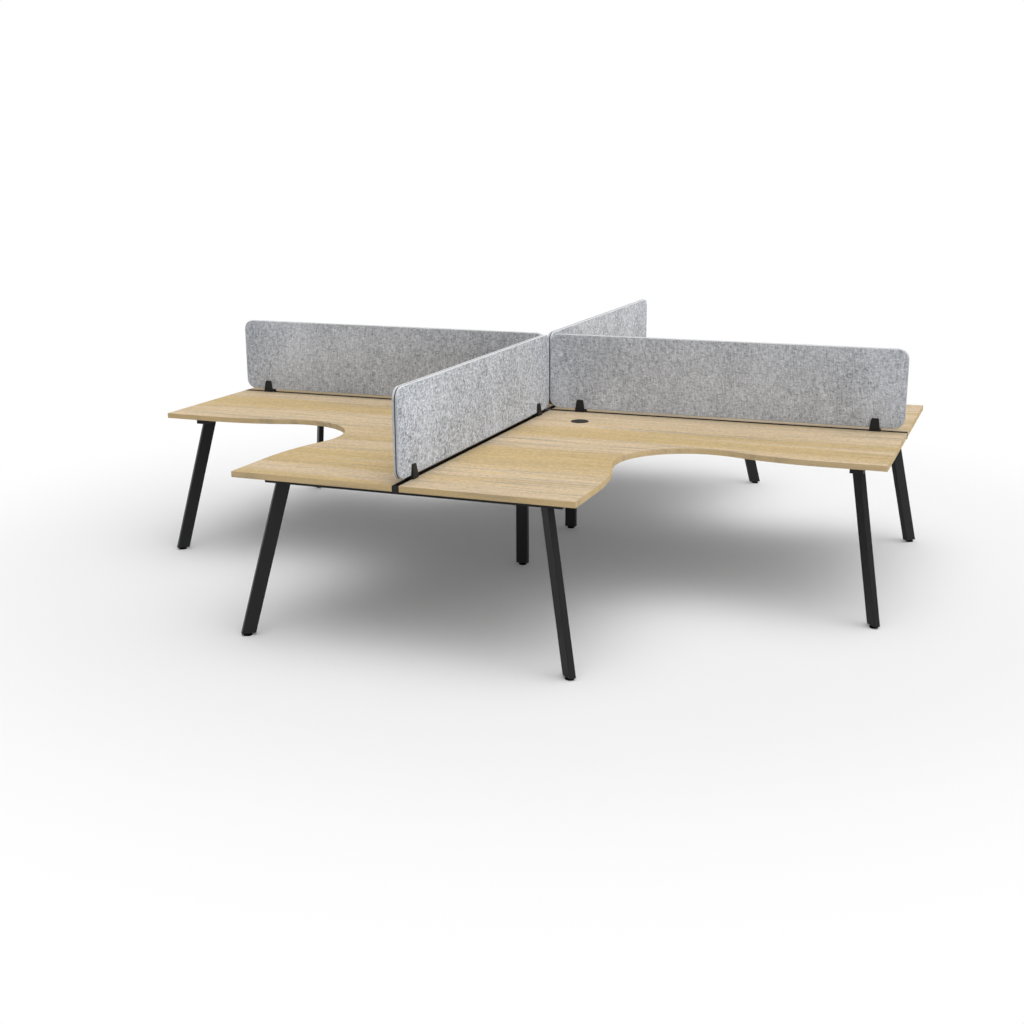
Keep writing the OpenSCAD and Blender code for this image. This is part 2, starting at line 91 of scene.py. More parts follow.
# Edges of the clamps that turn by more than this are rounded
SHARP_DEGREES = 40
FELT_OUTER_ROUND = 0.0022
FELT_INNER_ROUND = 0.0010
# How far in the rim of a felt layer reaches, and where its two faces have one more row on the way
FELT_RIM = 0.010
FELT_CORE_ROW = 0.004
FELT_FACE_ROW = 0.005
# Where the rows of a felt layer's faces lie, as shares of the way from the rim to the middle line
FACE_SHARES = (0.3, 0.65, 1.0)
# How far apart on the cloth two layers are cut, by arm and by side
CLOTH_STEP = (3.0, 2.0)
# How strongly the marl shows on the left and right screens, and on the front and back ones
MARL = (1.35, 2.15)
# How far from the gap a desktop is painted darker and greyer along the screens, as painted shade, and its
# greatest share
SCREEN_SHADE_REACH = 0.100
SCREEN_SHADE_SHARE = 0.45
# How far up from its underside a board shows its backing sheet
BACKING_T = 0.0002

# Quarter turns from the right arm, and for each arm the names of its left-hand and right-hand layers
ARMS = {
    "right": (0, "back", "front"),
    "back": (1, "left", "right"),
    "left": (2, "front", "back"),
    "front": (3, "right", "left"),
}
QUARTERS = {"front_left": (-1, -1), "front_right": (1, -1), "back_left": (-1, 1), "back_right": (1, 1)}


# Meshes

def arc(centre, radius, start, end, steps):
    """Points centre + radius (cos a, sin a) with their unit directions, a from start to end in degrees."""
    a = np.radians(np.linspace(start, end, steps + 1))
    out = np.stack([np.cos(a), np.sin(a)], -1)
    return np.array(centre) + radius * out, out


def line(start, end, normal, steps):
    """Points evenly spaced inside a straight edge, its ends left out, all with the same normal."""
    t = np.linspace(0, 1, steps + 1)[1:-1, None]
    return np.array(start) * (1 - t) + np.array(end) * t, np.tile(np.array(normal, float), (steps - 1, 1))


def joined(parts):
    """The points and the normals of several arcs and lines, one after the other."""
    return np.concatenate([points for points, _ in parts]), np.concatenate([normals for _, normals in parts])


def mesh_from_grid(name, grid, uv, rows_close, masks):
    """Joins neighbouring points of a grid of rows and columns by quads.

    Columns always close on themselves, rows only if rows_close. Poles and seams are merged.
    uv has one more column than the grid, and one more row if rows_close, so that it can run on past a seam.
    masks holds one number per grid point under each name.
    """
    rows, columns = grid.shape[:2]
    i = np.arange(rows if rows_close else rows - 1)[:, None]
    j = np.arange(columns)[None, :]
    i_next, j_next = (i + 1) % rows, (j + 1) % columns
    corners = [i * columns + j, i * columns + j_next, i_next * columns + j_next, i_next * columns + j]
    quads = np.stack(corners, -1).reshape(-1, 4)
    uv_corners = np.stack([uv[i, j], uv[i, j + 1], uv[i + 1, j + 1], uv[i + 1, j]], 2).reshape(-1)

    mesh = bpy.data.meshes.new(name)
    mesh.from_pydata(grid.reshape(-1, 3).tolist(), [], quads.tolist())
    mesh.uv_layers.new(name="surface").data.foreach_set("uv", uv_corners.astype(np.float32))
    for mask, values in masks.items():
        attribute = mesh.attributes.new(mask, "FLOAT", "POINT")
        attribute.data.foreach_set("value", values.reshape(-1).astype(np.float32))
    merged = bmesh.new()
    merged.from_mesh(mesh)
    bmesh.ops.remove_doubles(merged, verts=merged.verts, dist=MERGE_REACH)
    bmesh.ops.dissolve_degenerate(merged, edges=merged.edges, dist=MERGE_REACH / 10)
    bmesh.ops.recalc_face_normals(merged, faces=merged.faces)
    merged.to_mesh(mesh)
    merged.free()
    mesh.polygons.foreach_set("use_smooth", np.ones(len(mesh.polygons), bool))
    return mesh


def add_piece(name, mesh, material, node):
    """Puts a mesh into the scene as a piece that rides on the workstation and stands for a CAD node."""
    piece = bpy.data.objects.new(name, mesh)
    bpy.context.scene.collection.objects.link(piece)
    mesh.materials.clear()
    mesh.materials.append(material)
    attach(piece, "workstation")
    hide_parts(node)


def screen_outline():
    """Rounded rectangle in the plane of a screen, from four quarter arcs and four straight edges.

    Each point has its outward normal and its foot on the sheet's middle line, to which the flat faces run in.
    """
    x0, x1, z0, z1, r = SCREEN_IN, SCREEN_OUT, SCREEN_LOW, SCREEN_HIGH, SCREEN_R
    points, normals = joined([
        arc((x1 - r, z0 + r), r, -90, 0, steps=10), line((x1, z0 + r), (x1, z1 - r), (1, 0), steps=8),
        arc((x1 - r, z1 - r), r, 0, 90, steps=10), line((x1 - r, z1), (x0 + r, z1), (0, 1), steps=40),
        arc((x0 + r, z1 - r), r, 90, 180, steps=10), line((x0, z1 - r), (x0, z0 + r), (-1, 0), steps=8),
        arc((x0 + r, z0 + r), r, 180, 270, steps=10), line((x0 + r, z0), (x1 - r, z0), (0, -1), steps=40),
    ])
    half = (z1 - z0) / 2
    feet = np.stack([np.clip(points[:, 0], x0 + half, x1 - half), np.full(len(points), (z0 + z1) / 2)], -1)
    return points, normals, feet


def felt_rim():
    """Rows of a felt layer's rim, over the core side, round a small arc, across the cut edge, round a larger
    arc and onto the face.

    Gives each row's inset from the outline, depth from the core side and length along the section, counted
    back from the face, how far it shows as cut edge, and how far it is painted dark by the core as painted
    shade in the groove between the layers. On the small arc
    inset = r (1 - sin a) and depth = r (1 - cos a); on the larger one inset = r (1 - cos a) and
    depth = thickness - r (1 - sin a).
    """
    a = np.radians(np.linspace(0, 90, 5))
    small, large = FELT_INNER_ROUND, FELT_OUTER_ROUND
    inset = np.concatenate([[FELT_RIM, FELT_CORE_ROW], small * (1 - np.sin(a)),
                            large * (1 - np.cos(a)), [FELT_FACE_ROW, FELT_RIM]])
    depth = np.concatenate([[0, 0], small * (1 - np.cos(a)),
                            FELT_T - large * (1 - np.sin(a)), [FELT_T, FELT_T]])
    length = np.concatenate([[0], np.cumsum(np.hypot(np.diff(inset), np.diff(depth)))])
    cut = np.array([0, 0.5] + [1] * 8 + [0.7, 0.25, 0, 0])
    # Painted shade: how strongly each row is painted dark towards the core, for the shaded groove between the
    # layers
    core_shade_rows = np.array([1] * 3 + [0.85, 0.65, 0.40, 0.15] + [0] * 7)
    return inset, depth, length - length[-1], cut, core_shade_rows


def over_faces(core_side, rim_rows, outer_face):
    """The rim's rows between one value for all rows over the core side and one for those over the face."""
    rows = len(FACE_SHARES)
    return np.concatenate([[core_side] * rows, rim_rows, [outer_face] * rows])


def felt_layer(turns, side):
    """One felt layer: the rim's section carried round the outline, closed by rows that run in over the faces.

    Point = outline - inset * normal at the rim, then a blend of that towards its foot on the middle line.
    """
    points, normals, feet = screen_outline()
    inset, depth, length, cut, core_shade_rows = felt_rim()
    rim = points[None] - inset[:, None, None] * normals[None]
    run_in = np.array(FACE_SHARES)[:, None, None]
    face = rim[-1] * (1 - run_in) + feet[None] * run_in
    flat = np.concatenate([face[::-1], rim, face])
    shape = flat.shape[:2]
    across = side * (CORE_HALF + over_faces(0, depth, FELT_T))[:, None]
    grid = np.stack([flat[..., 0], np.broadcast_to(across, shape), flat[..., 1]], -1)
    # The pattern runs on over the rim: the layer is laid out flat, its rim folded outwards
    spread = over_faces(length[0], length, 0)[:, None, None]
    uv = np.concatenate([flat, flat[:, :1]], 1) - spread * np.concatenate([normals, normals[:1]])[None]
    uv = uv + np.array([CLOTH_STEP[0] * turns, CLOTH_STEP[1] * side])
    a = math.radians(90 * turns)
    turn = np.array([[math.cos(a), -math.sin(a), 0], [math.sin(a), math.cos(a), 0], [0, 0, 1]])
    masks = {
        "cut_edge": np.repeat(over_faces(0, cut, 0)[:, None], shape[1], 1),
        # Painted shade in the groove by the core
        "painted_core_shade": np.repeat(over_faces(1, core_shade_rows, 0)[:, None], shape[1], 1),
        # Painted light: the cut edge is painted paler where it faces up, as lit from above
        "upward": np.repeat(np.clip(normals[None, :, 1], 0, 1), shape[0], 0),
        "contrast": np.full(shape, MARL[turns % 2]),
    }
    return grid @ turn.T, uv, masks


def desk_outline():
    """Plan of the back right desktop: a sharp inner corner, two arms, and the waved front edge.

    Each half is the gap edge, two corner arcs, the straight front, a convex arc and half of the concave
    cut-out. The last two touch where both have turned by lean, with
    cos lean = (cut-out's centre - side + wave radius) / (cut-out's radius + wave radius).
    The second half is the first with x and y changed over and its order reversed.
    """
    low, end, side, r = HALF_GAP, ARM_END, ARM_SIDE, END_CORNER_R
    lean = math.degrees(math.acos((CUTOUT_C - side + WAVE_R) / (CUTOUT_R + WAVE_R)))
    wave_end = CUTOUT_C + (CUTOUT_R + WAVE_R) * math.sin(math.radians(lean))
    bay, bay_inward = arc((CUTOUT_C, CUTOUT_C), CUTOUT_R, lean - 90, -135, steps=26)
    points, normals = joined([
        arc((low + INNER_CORNER_R,) * 2, INNER_CORNER_R, 225, 270, steps=4),
        line((low, low), (end - r, low), (0, -1), steps=60),
        arc((end - r, low + r), r, -90, 0, steps=6),
        line((end, low + r), (end, side - r), (1, 0), steps=24),
        arc((end - r, side - r), r, 0, 90, steps=6),
        line((end - r, side), (wave_end, side), (0, 1), steps=10),
        arc((wave_end, side - WAVE_R), WAVE_R, 90, 90 + lean, steps=28),
        (bay[1:], -bay_inward[1:]),
    ])
    points = np.concatenate([points, points[-2:0:-1, ::-1]])
    normals = np.concatenate([normals, normals[-2:0:-1, ::-1]])
    return points, normals


def band_section():
    """Section of an edge band as inset and height: a closed loop with rounded outer edges."""
    a = np.radians(np.linspace(0, 90, 5))
    low, high, r = DESK_TOP - BOARD_T, DESK_TOP, BAND_ROUND
    inset = np.concatenate([[BAND_T], r * (1 - np.sin(a)), r * (1 - np.cos(a)), [BAND_T]])
    height = np.concatenate([[low], low + r * (1 - np.cos(a)), high - r * (1 - np.sin(a)), [high]])
    return inset, height


def edge_band(side_x, side_y):
    """The band's section carried round the desktop: point = outline - inset * normal, at its height."""
    points, normals = desk_outline()
    inset, height = band_section()
    plan = points[None] - inset[:, None, None] * normals[None]
    z = np.broadcast_to(height[:, None], plan.shape[:2])
    grid = np.stack([side_x * plan[..., 0], side_y * plan[..., 1], z], -1)
    closed = np.concatenate([points, points[:1]])
    run = np.concatenate([[0], np.cumsum(np.hypot(*np.diff(closed, axis=0).T))])
    climb = np.concatenate([[0], np.cumsum(np.hypot(np.diff(inset), np.diff(height)))])
    climb = np.append(climb, climb[-1] + BOARD_T)
    uv = np.stack(np.broadcast_arrays(run[None, :], climb[:, None]), -1)
    return grid, uv


def rounded_copy(node, width):
    """A merged copy of a CAD node's mesh with its sharp edges rounded over a width."""
    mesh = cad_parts[node].data.copy()
    merged = bmesh.new()
    merged.from_mesh(mesh)
    bmesh.ops.remove_doubles(merged, verts=merged.verts, dist=MERGE_REACH)
    bmesh.ops.dissolve_limit(merged, angle_limit=math.radians(FLAT_DEGREES), verts=merged.verts,
                             edges=merged.edges)
    least = math.radians(SHARP_DEGREES)
    sharp = [e for e in merged.edges if len(e.link_faces) == 2 and e.calc_face_angle() > least]
    bmesh.ops.bevel(merged, geom=sharp, offset=width, segments=ROUND_SEGMENTS, profile=0.5, affect="EDGES",
                    clamp_overlap=True)
    merged.to_mesh(mesh)
    merged.free()
    return mesh


# Nodes

class Wiring:
    """Adds nodes to a tree. A node's output given for a socket is linked to it; any other value is set."""

    def __init__(self, tree):
        self.tree = tree

    def put(self, kind, inputs=(), **settings):
        node = self.tree.nodes.new(kind)
        for name, value in settings.items():
            setattr(node, name, value)
        for socket, value in dict(inputs).items():
            self.join(value, node.inputs[socket])
        return node

    def join(self, value, socket):
        if isinstance(value, bpy.types.NodeSocket):
            self.tree.links.new(value, socket)
        else:
            socket.default_value = value

    def maths(self, operation, *values):
        return self.put("ShaderNodeMath", dict(enumerate(values)), operation=operation).outputs[0]

    def vector_maths(self, operation, *values):
        return self.put("ShaderNodeVectorMath", dict(enumerate(values)), operation=operation).outputs[0]

    def shaded(self, colour, shade):
        """A colour times a number."""
        return self.put("ShaderNodeVectorMath", {0: colour, "Scale": shade}, operation="SCALE").outputs[0]

    def dot(self, vector, weights):
        inputs = {0: vector, 1: weights}
        return self.put("ShaderNodeVectorMath", inputs, operation="DOT_PRODUCT").outputs["Value"]

    def parts(self, vector):
        return self.put("ShaderNodeSeparateXYZ", {0: vector}).outputs

    def vector(self, x=0.0, y=0.0, z=0.0):
        return self.put("ShaderNodeCombineXYZ", {0: x, 1: y, 2: z}).outputs[0]

    def noise(self, vector, scale, detail=2.0, roughness=0.5, distortion=0.0):
        inputs = {"Vector": vector, "Scale": scale, "Detail": detail, "Roughness": roughness,
                  "Distortion": distortion}
        return self.put("ShaderNodeTexNoise", inputs, noise_dimensions="3D").outputs[0]

    def grain(self, vector, scales, detail=2.0, roughness=0.5, distortion=0.0):
        """Noise with its own scale along each of x, y and z."""
        return self.noise(self.vector_maths("MULTIPLY", vector, scales), 1.0, detail, roughness, distortion)

    def stretch(self, value, low, high, to_low=0.0, to_high=1.0):
        """A value carried from one range to another, and held at its ends."""
        inputs = {"Value": value, "From Min": low, "From Max": high, "To Min": to_low, "To Max": to_high}
        return self.put("ShaderNodeMapRange", inputs, clamp=True).outputs[0]

    def blend(self, share, first, second):
        return self.put("ShaderNodeMix", {0: share, 6: first, 7: second}, data_type="RGBA").outputs[2]

    def bump(self, height, distance, strength=1.0):
        inputs = {"Height": height, "Distance": distance, "Strength": strength}
        return self.put("ShaderNodeBump", inputs).outputs[0]

    def effect(self, tree, inputs):
        """Places a shared effect; its node is made first, because its sockets come with its tree."""
        node = self.put("ShaderNodeGroup", node_tree=tree)
        for socket, value in inputs.items():
            self.join(value, node.inputs[socket])
        return node.outputs

    def mask(self, name):
        """One of the numbers that a mesh holds for each of its points."""
        return self.put("ShaderNodeAttribute", attribute_name=name).outputs["Fac"]

    def object_place(self):
        return self.put("ShaderNodeTexCoord").outputs["Object"]

    def seen(self):
        """1 for what the camera sees directly, reflected or through glass, and 0 for the light on things."""
        ray = self.put("ShaderNodeLightPath").outputs
        direct = self.maths("MAXIMUM", ray["Is Camera Ray"], ray["Is Glossy Ray"])
        return self.maths("MAXIMUM", direct, ray["Is Transmission Ray"])


def new_group(name, given, made):
    """An empty shader group: its tree, its wiring, the sockets of what it is given and of what it makes."""
    tree = bpy.data.node_groups.new(name, "ShaderNodeTree")
    for label, kind in given.items():
        tree.interface.new_socket(label, in_out="INPUT", socket_type="NodeSocket" + kind)
    for label, kind in made.items():
        tree.interface.new_socket(label, in_out="OUTPUT", socket_type="NodeSocket" + kind)
    w = Wiring(tree)
    return tree, w, w.put("NodeGroupInput").outputs, w.put("NodeGroupOutput").inputs


def new_material(name):
    """A material with an empty node tree, with its wiring."""
    material = bpy.data.materials.new(name)
    material.use_nodes = True
    material.node_tree.nodes.clear()
    return material, Wiring(material.node_tree)


def finish_material(w, colour, roughness, normal, specular, metallic=0.0, sheen=0.0):
    """Closes a material with a Principled BSDF, whose own sockets hold specular, metallic and sheen."""
    inputs = {"Base Color": colour, "Roughness": roughness, "Normal": normal, "Metallic": metallic,
              "Specular IOR Level": specular, "Sheen Weight": sheen}
    shader = w.put("ShaderNodeBsdfPrincipled", inputs)
    w.put("ShaderNodeOutputMaterial", {"Surface": shader.outputs[0]})


# Shared effects

def own_figure(w, place, shift):
    """Moves a pattern by its own amount in each quarter of the plan: no two desktops share a figure."""
    return w.vector_maths("MULTIPLY_ADD", w.vector_maths("SIGN", place), shift, place)


def oak_grain_group():
    """Oak laminate with its grain along X: golden and pale bands, streaks, grey lines, flecks and pores.

    Apart from the flecks all are noises stretched along X, and the broad ones follow a slow sideways sway of
    the grain. Bands, streaks and lines hardly change with height, so an edge carries on the top's figure.
    """
    tree, w, given, made = new_group(
        "oak grain",
        {"Place": "Vector", "Pale": "Color", "Golden": "Color", "Line": "Color", "Pore": "Color",
         "Flecks": "Float"},
        {"Colour": "Color", "Height": "Float", "Dullness": "Float"})
    place = own_figure(w, given["Place"], (5.3, 2.9, 0.0))
    sway_reach = 0.09
    sway = w.maths("MULTIPLY_ADD", w.grain(place, (0.9, 2.2, 2.2)), sway_reach, -sway_reach / 2)
    bent = w.vector_maths("ADD", place, w.vector(y=sway))
    bands = w.grain(bent, (0.30, 6.4, 0.6), 2.0, 0.45)
    streaks = w.grain(bent, (1.5, 30.0, 3.0), 4.0, 0.62)
    lines = w.grain(bent, (1.9, 66.0, 6.0))
    gather = w.grain(bent, (0.45, 7.5, 1.0), 1.0)
    flecks = w.noise(place, 70.0, 2.0, 0.6)
    fibres = w.grain(place, (9.0, 620.0, 260.0), 3.0, 0.6)
    pores = w.grain(place, (38.0, 1500.0, 600.0), 1.0)

    golden = w.stretch(w.maths("MULTIPLY_ADD", streaks, 0.22, bands), 0.53, 0.70)
    colour = w.blend(golden, given["Pale"], given["Golden"])
    line_mask = w.maths("MULTIPLY", w.stretch(lines, 0.53, 0.64), w.stretch(gather, 0.40, 0.58))
    colour = w.blend(w.maths("MULTIPLY", line_mask, 0.7), colour, given["Line"])
    pore_mask = w.stretch(pores, 0.66, 0.74)
    colour = w.blend(w.maths("MULTIPLY", pore_mask, 0.30), colour, given["Pore"])
    shade = w.stretch(streaks, 0.25, 0.75, 0.88, 1.11)
    shade = w.maths("ADD", shade, w.stretch(fibres, 0.2, 0.8, -0.05, 0.05))
    shade = w.maths("MULTIPLY_ADD", w.stretch(flecks, 0.25, 0.75, -1.0, 1.0), given["Flecks"], shade)
    w.join(w.shaded(colour, shade), made["Colour"])
    w.join(w.maths("SUBTRACT", w.maths("MULTIPLY", fibres, 0.4), pore_mask), made["Height"])
    w.join(w.stretch(w.maths("ADD", fibres, line_mask), 0.3, 1.2), made["Dullness"])
    return tree


def felt_marl_group():
    """Needled felt of mixed fibres: dark, grey and white strands that lie every way, in clouds of a lighter
    and a darker mix, with a few dark curled hairs.

    Strands are noises stretched along three turned directions of the sheet. The level of the mix runs from
    the dark colour over the middle one to the light one.
    """
    tree, w, given, made = new_group(
        "felt marl",
        {"Place": "Vector", "Dark": "Color", "Middle": "Color", "Light": "Color", "Contrast": "Float"},
        {"Colour": "Color", "Height": "Float", "Fluff": "Float"})
    place = given["Place"]
    strands = []
    for degrees, along, over in ((84, 30.0, 150.0), (12, 46.0, 170.0), (-40, 60.0, 220.0)):
        turned = w.put("ShaderNodeVectorRotate", {"Vector": place, "Angle": math.radians(degrees)},
                       rotation_type="Z_AXIS").outputs[0]
        strands.append(w.grain(turned, (along, over, 1.0), 3.0, 0.63, 0.6))
    clouds = w.grain(place, (3.4, 1.6, 1.0), 3.0, 0.5)
    curls = w.noise(place, 30.0, 4.0, 0.7, 1.6)
    fuzz = w.noise(place, 900.0, 3.0, 0.7)
    hairs = w.grain(place, (64.0, 30.0, 1.0), 2.0, 0.5, 2.6)

    # Weighed against the first strands, which weigh 1; every noise has 0.5 as its middle
    others = ((strands[1], 1.05), (strands[2], 0.65), (curls, 0.7), (fuzz, 0.35))
    middle = 0.5 * (1.0 + sum(weight for _, weight in others))
    mix = strands[0]
    for layer, weight in others:
        mix = w.maths("MULTIPLY_ADD", layer, weight, mix)
    level = w.maths("MULTIPLY_ADD", w.maths("SUBTRACT", mix, middle), given["Contrast"],
                    w.stretch(clouds, 0.0, 1.0, 0.15, 0.85))
    level = w.maths("SUBTRACT", level, w.stretch(hairs, 0.62, 0.70, 0.0, 0.36))
    darker = w.blend(w.stretch(level, 0.0, 0.5), given["Dark"], given["Middle"])
    w.join(w.blend(w.stretch(level, 0.5, 1.0), darker, given["Light"]), made["Colour"])
    w.join(w.maths("ADD", w.maths("MULTIPLY", mix, 0.35), fuzz), made["Height"])
    w.join(fuzz, made["Fluff"])
    return tree


def pebbled_skin_group():
    """Fine pebbled skin of a painted or moulded part: a dimpled height, a slight tone change, a dullness."""
    tree, w, given, made = new_group(
        "pebbled skin",
        {"Place": "Vector", "Colour": "Color", "Pebble size": "Float", "Tone change": "Float"},
        {"Colour": "Color", "Height": "Float", "Dullness": "Float"})
    place = given["Place"]
    scale = w.maths("DIVIDE", 1.0, given["Pebble size"])
    pebbles = w.noise(place, scale)
    cells = w.put("ShaderNodeTexVoronoi", {"Vector": place, "Scale": scale}, feature="SMOOTH_F1").outputs[0]
    patches = w.noise(place, 7.0, 3.0, 0.6)
    tone = w.maths("SUBTRACT", w.maths("ADD", patches, w.maths("MULTIPLY", pebbles, 0.6)), 0.8)
    shade = w.maths("ADD", 1.0, w.maths("MULTIPLY", tone, given["Tone change"]))
    w.join(w.shaded(given["Colour"], shade), made["Colour"])
    w.join(w.maths("ADD", pebbles, w.maths("MULTIPLY", cells, 0.5)), made["Height"])
    dull = w.maths("ADD", w.maths("MULTIPLY", patches, 0.6), w.maths("MULTIPLY", pebbles, 0.4))
    w.join(dull, made["Dullness"])
    return tree


OAK_GRAIN = oak_grain_group()
FELT_MARL = felt_marl_group()
PEBBLED_SKIN = pebbled_skin_group()


# Materials

def grey(value, warmth=0.0):
    """A grey of a value, its red raised and its blue lowered by a share of it."""
    return (value * (1 + warmth), value, value * (1 - warmth), 1.0)


def oak_material(name, pale, golden, line_colour, pore, flecks, flatten=1.0, backing=None):
    """Oak laminate or edge band, its figure flattened in height by a factor.

    A board with a backing colour has a plain fibrous sheet over its underside, and is painted darker and
    greyer
    along the screens, as painted shade: its share falls with the third power of the way out from the gap.
    """
    material, w = new_material(name)
    place = w.object_place()
    flattened = w.vector_maths("MULTIPLY", place, (1.0, 1.0, flatten))
    grain = w.effect(OAK_GRAIN, {"Place": flattened, "Pale": pale, "Golden": golden, "Line": line_colour,
                                 "Pore": pore, "Flecks": flecks})
    colour = grain["Colour"]
    if backing:
        # Painted shade: the top is made darker and greyer near the gap, where the screens shade it
        x, y, height = w.parts(place)
        off_gap = w.maths("MINIMUM", w.maths("ABSOLUTE", x), w.maths("ABSOLUTE", y))
        near_gap = w.stretch(off_gap, HALF_GAP, HALF_GAP + SCREEN_SHADE_REACH, 1.0, 0.0)
        share = w.maths("MULTIPLY", w.maths("POWER", near_gap, 3.0), SCREEN_SHADE_SHARE)
        painted_shade_grey = grey(0.20)
        colour = w.blend(share, colour, painted_shade_grey)
        fibres = w.noise(place, 420.0, 3.0, 0.6)
        fibre_colour = [0.85 * v for v in backing[:3]] + [1.0]
        sheet = w.blend(w.stretch(fibres, 0.3, 0.7), backing, fibre_colour)
        colour = w.blend(w.maths("LESS_THAN", height, DESK_TOP - BOARD_T + BACKING_T), colour, sheet)
    roughness = w.stretch(grain["Dullness"], 0.0, 1.0, 0.60, 0.76)
    finish_material(w, colour, roughness, w.bump(grain["Height"], 0.00006, 0.8), specular=0.03)
    return material


def felt_material(name, dark, middle, light, cut, rim, dark_by_core):
    """Marled felt. Its cut edge is plainer, and palest where it faces up: painted light from above on the
    upper rim.
    The side glued to the core is painted dark towards it: painted shade in the groove between the layers.
    """
    material, w = new_material(name)
    sheet = w.put("ShaderNodeUVMap", uv_map="surface").outputs[0]
    marl = w.effect(FELT_MARL, {"Place": sheet, "Dark": dark, "Middle": middle, "Light": light,
                                "Contrast": w.mask("contrast")})
    # Painted light from above: the upward-facing part of the cut edge takes the pale rim colour
    cut_edge_and_top_light = w.blend(w.mask("upward"), cut, rim)
    colour = w.blend(w.maths("MULTIPLY", w.mask("cut_edge"), 0.75), marl["Colour"], cut_edge_and_top_light)
    # Painted shade: the felt is painted dark towards the core, in the groove between the layers
    colour = w.blend(w.maths("MULTIPLY", w.mask("painted_core_shade"), 0.65), colour, dark_by_core)
    roughness = w.stretch(marl["Fluff"], 0.2, 0.8, 0.86, 1.0)
    finish_material(w, colour, roughness, w.bump(marl["Height"], 0.0006, 0.6), specular=0.05, sheen=0.05)
    return material


def skin_material(name, colour, pebble, tone, roughness, depth, specular, metallic=0.0):
    """Painted, moulded or plated part: pebbles of a size and depth, and a roughness between two values."""
    material, w = new_material(name)
    skin = w.effect(PEBBLED_SKIN, {"Place": w.object_place(), "Colour": colour, "Pebble size": pebble,
                                   "Tone change": tone})
    dull = w.stretch(skin["Dullness"], 0.3, 0.7, *roughness)
    finish_material(w, skin["Colour"], dull, w.bump(skin["Height"], depth), specular, metallic)
    return material


def extruded_material(name, colour):
    """Black anodised aluminium with the fine lines that an extrusion has along its length.

    A channel runs along X where |x| > |y|, and along Y elsewhere.
    """
    material, w = new_material(name)
    x, y, z = w.parts(w.object_place())
    on_x = w.maths("GREATER_THAN", w.maths("ABSOLUTE", x), w.maths("ABSOLUTE", y))
    on_y = w.maths("SUBTRACT", 1.0, on_x)
    along = w.maths("ADD", w.maths("MULTIPLY", x, on_x), w.maths("MULTIPLY", y, on_y))
    over = w.maths("ADD", w.maths("MULTIPLY", y, on_x), w.maths("MULTIPLY", x, on_y))
    lines = w.grain(w.vector(along, over, z), (3.0, 1400.0, 1400.0), 3.0, 0.6)
    tinted = w.shaded(colour[:3], w.stretch(lines, 0.2, 0.8, 0.85, 1.15))
    finish_material(w, tinted, w.stretch(lines, 0.2, 0.8, 0.55, 0.68), w.bump(lines, 0.00002), specular=0.02)
    return material


oak_top = oak_material(
    "oak laminate", pale=(0.694, 0.549, 0.368, 1), golden=(0.624, 0.467, 0.245, 1),
    line_colour=(0.400, 0.350, 0.285, 1), pore=(0.290, 0.205, 0.125, 1), flecks=0.16, backing=grey(0.32))
oak_band = oak_material(
    "oak edge band", pale=(0.575, 0.435, 0.252, 1), golden=(0.540, 0.404, 0.212, 1),
    line_colour=(0.390, 0.315, 0.205, 1), pore=(0.235, 0.165, 0.095, 1), flecks=0.07, flatten=2.5)
# The rim colour is painted light from above on the cut edge; the darkest colour, by the core, is painted shade
# in the groove
felt = felt_material(
    "grey felt", dark=(0.233, 0.252, 0.283, 1), middle=(0.533, 0.566, 0.630, 1),
    light=(0.810, 0.850, 0.930, 1), cut=(0.470, 0.475, 0.485, 1), rim=(0.930, 0.935, 0.945, 1),
    dark_by_core=(0.050, 0.053, 0.058, 1))
core = skin_material(
    "core sheet", (0.022, 0.024, 0.028, 1),
    pebble=0.0007, tone=0.5, roughness=(0.75, 0.95), depth=0.00010, specular=0.2)
powder_coat = skin_material(
    "black powder coat", grey(0.013),
    pebble=0.0009, tone=0.25, roughness=(0.42, 0.55), depth=0.00003, specular=0.20)
clamp_plastic = skin_material(
    "clamp plastic", grey(0.014),
    pebble=0.0005, tone=0.3, roughness=(0.45, 0.60), depth=0.00003, specular=0.22)
grommet_plastic = skin_material(
    "grommet plastic", grey(0.022, -0.03),
    pebble=0.0004, tone=0.3, roughness=(0.50, 0.65), depth=0.00004, specular=0.35)
frame_plastic = skin_material(
    "frame plastic", grey(0.010),
    pebble=0.0005, tone=0.3, roughness=(0.50, 0.65), depth=0.00003, specular=0.25)
foot_plastic = skin_material(
    "foot plastic", grey(0.003),
    pebble=0.0006, tone=0.4, roughness=(0.60, 0.80), depth=0.00004, specular=0.04)
blackened_steel = skin_material(
    "blackened steel", grey(0.030),
    pebble=0.0008, tone=0.3, roughness=(0.40, 0.55), depth=0.00001, specular=0.3, metallic=1.0)
zinc = skin_material(
    "zinc plate", grey(0.52, -0.01),
    pebble=0.0012, tone=0.35, roughness=(0.25, 0.45), depth=0.00001, specular=0.5, metallic=1.0)
black_aluminium = extruded_material("black anodised aluminium", grey(0.008))

# CAD nodes that keep their shape, with the finish of a node or else of all nodes whose names start alike

node_finish = {"gap_rails": black_aluminium, "screen_cores": core, "leg_plugs": frame_plastic,
               "gap_rail_joiner": frame_plastic, "gap_rail_end_caps": frame_plastic,
               "rail_end_caps": frame_plastic}
family_finish = {"desktop": oak_top, "grommet": grommet_plastic, "leg": powder_coat, "foot": foot_plastic,
                 "end": powder_coat, "centre": powder_coat, "main": powder_coat, "return": powder_coat,
                 "frame": zinc, "desk": zinc, "clamp": blackened_steel}
for name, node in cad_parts.items():
    finish = node_finish.get(name, family_finish.get(name.split("_")[0]))
    if finish is not None:
        node.data.materials.clear()
        node.data.materials.append(finish)

# Pieces made here

